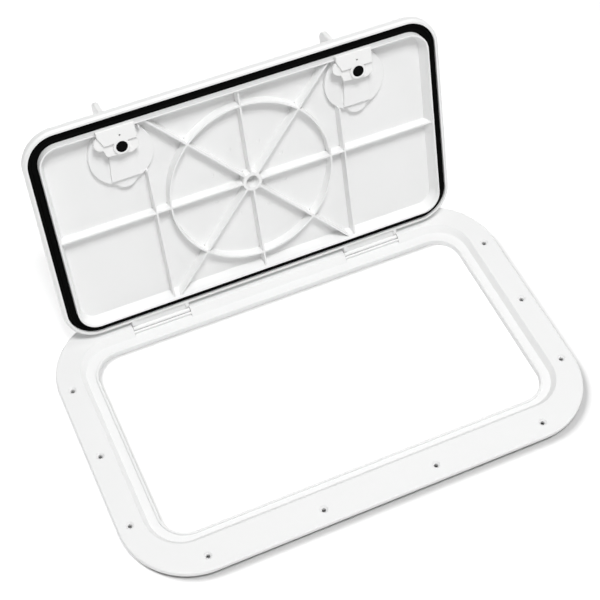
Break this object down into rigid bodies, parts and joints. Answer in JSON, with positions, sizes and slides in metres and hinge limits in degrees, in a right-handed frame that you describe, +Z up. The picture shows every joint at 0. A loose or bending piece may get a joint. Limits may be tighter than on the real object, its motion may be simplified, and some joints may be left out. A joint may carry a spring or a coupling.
{
  "type": "deck inspection hatch",
  "caption": "Rounded rectangular flush deck hatch with a flanged frame, a gasketed ribbed lid on hidden hinges and turning latches with folding finger levers.",
  "frame": {"origin": "middle of the frame on the deck surface, the underside of the flange", "axes": "+X along the hinge, +Y from the opening to the hinge, +Z up out of the deck"},
  "size_m": [0.607, 0.5233, 0.3019],
  "materials": {
    "frame_plastic": "smooth moulded white",
    "lid_plastic": "smooth moulded white",
    "gasket_rubber": "black soft rubber",
    "pin_steel": "bright steel",
    "lever_plastic": "smooth moulded white",
    "spindle_plastic": "smooth moulded white",
    "cam_plastic": "fine matt white",
    "plug_plastic": "black moulded",
    "washer_plastic": "natural moulded",
    "screw_steel": "bright steel"
  },
  "bodies": {
    "frame": {"frame": "frame_plastic", "hinge_pin_left": "pin_steel", "hinge_pin_right": "pin_steel"},
    "lid": {"lid": "lid_plastic", "gasket": "gasket_rubber", "spindle_seal_left": "gasket_rubber", "spindle_seal_right": "gasket_rubber", "spindle_washer_left": "washer_plastic", "spindle_washer_right": "washer_plastic"},
    "latch_left": {"spindle_left": "spindle_plastic", "lever_pin_left": "pin_steel", "cam_left": "cam_plastic", "cam_plug_left": "plug_plastic", "cam_screw_left": "screw_steel"},
    "lever_left": {"lever_left": "lever_plastic"},
    "latch_right": {"spindle_right": "spindle_plastic", "lever_pin_right": "pin_steel", "cam_right": "cam_plastic", "cam_plug_right": "plug_plastic", "cam_screw_right": "screw_steel"},
    "lever_right": {"lever_right": "lever_plastic"}
  },
  "joints": [
    {"name": "lid_hinge", "type": "hinge", "parent": "frame", "child": "lid", "pos_m": [0, 0.1602, 0.0026], "axis": [-1, 0, 0], "range_deg": [-108, 0]},
    {"name": "latch_turn_left", "type": "hinge", "parent": "lid", "child": "latch_left", "pos_m": [-0.152, 0.24061, 0.25848], "axis": [0, -0.9511, 0.309], "range_deg": [-90, 0]},
    {"name": "lever_fold_left", "type": "hinge", "parent": "latch_left", "child": "lever_left", "pos_m": [-0.152, 0.2562, 0.25341], "axis": [0, 0.309, 0.9511], "range_deg": [-91.5, 0]},
    {"name": "latch_turn_right", "type": "hinge", "parent": "lid", "child": "latch_right", "pos_m": [0.152, 0.24061, 0.25848], "axis": [0, -0.9511, 0.309], "range_deg": [-90, 0]},
    {"name": "lever_fold_right", "type": "hinge", "parent": "latch_right", "child": "lever_right", "pos_m": [0.152, 0.2562, 0.25341], "axis": [0, 0.309, 0.9511], "range_deg": [-91.5, 0]}
  ]
}
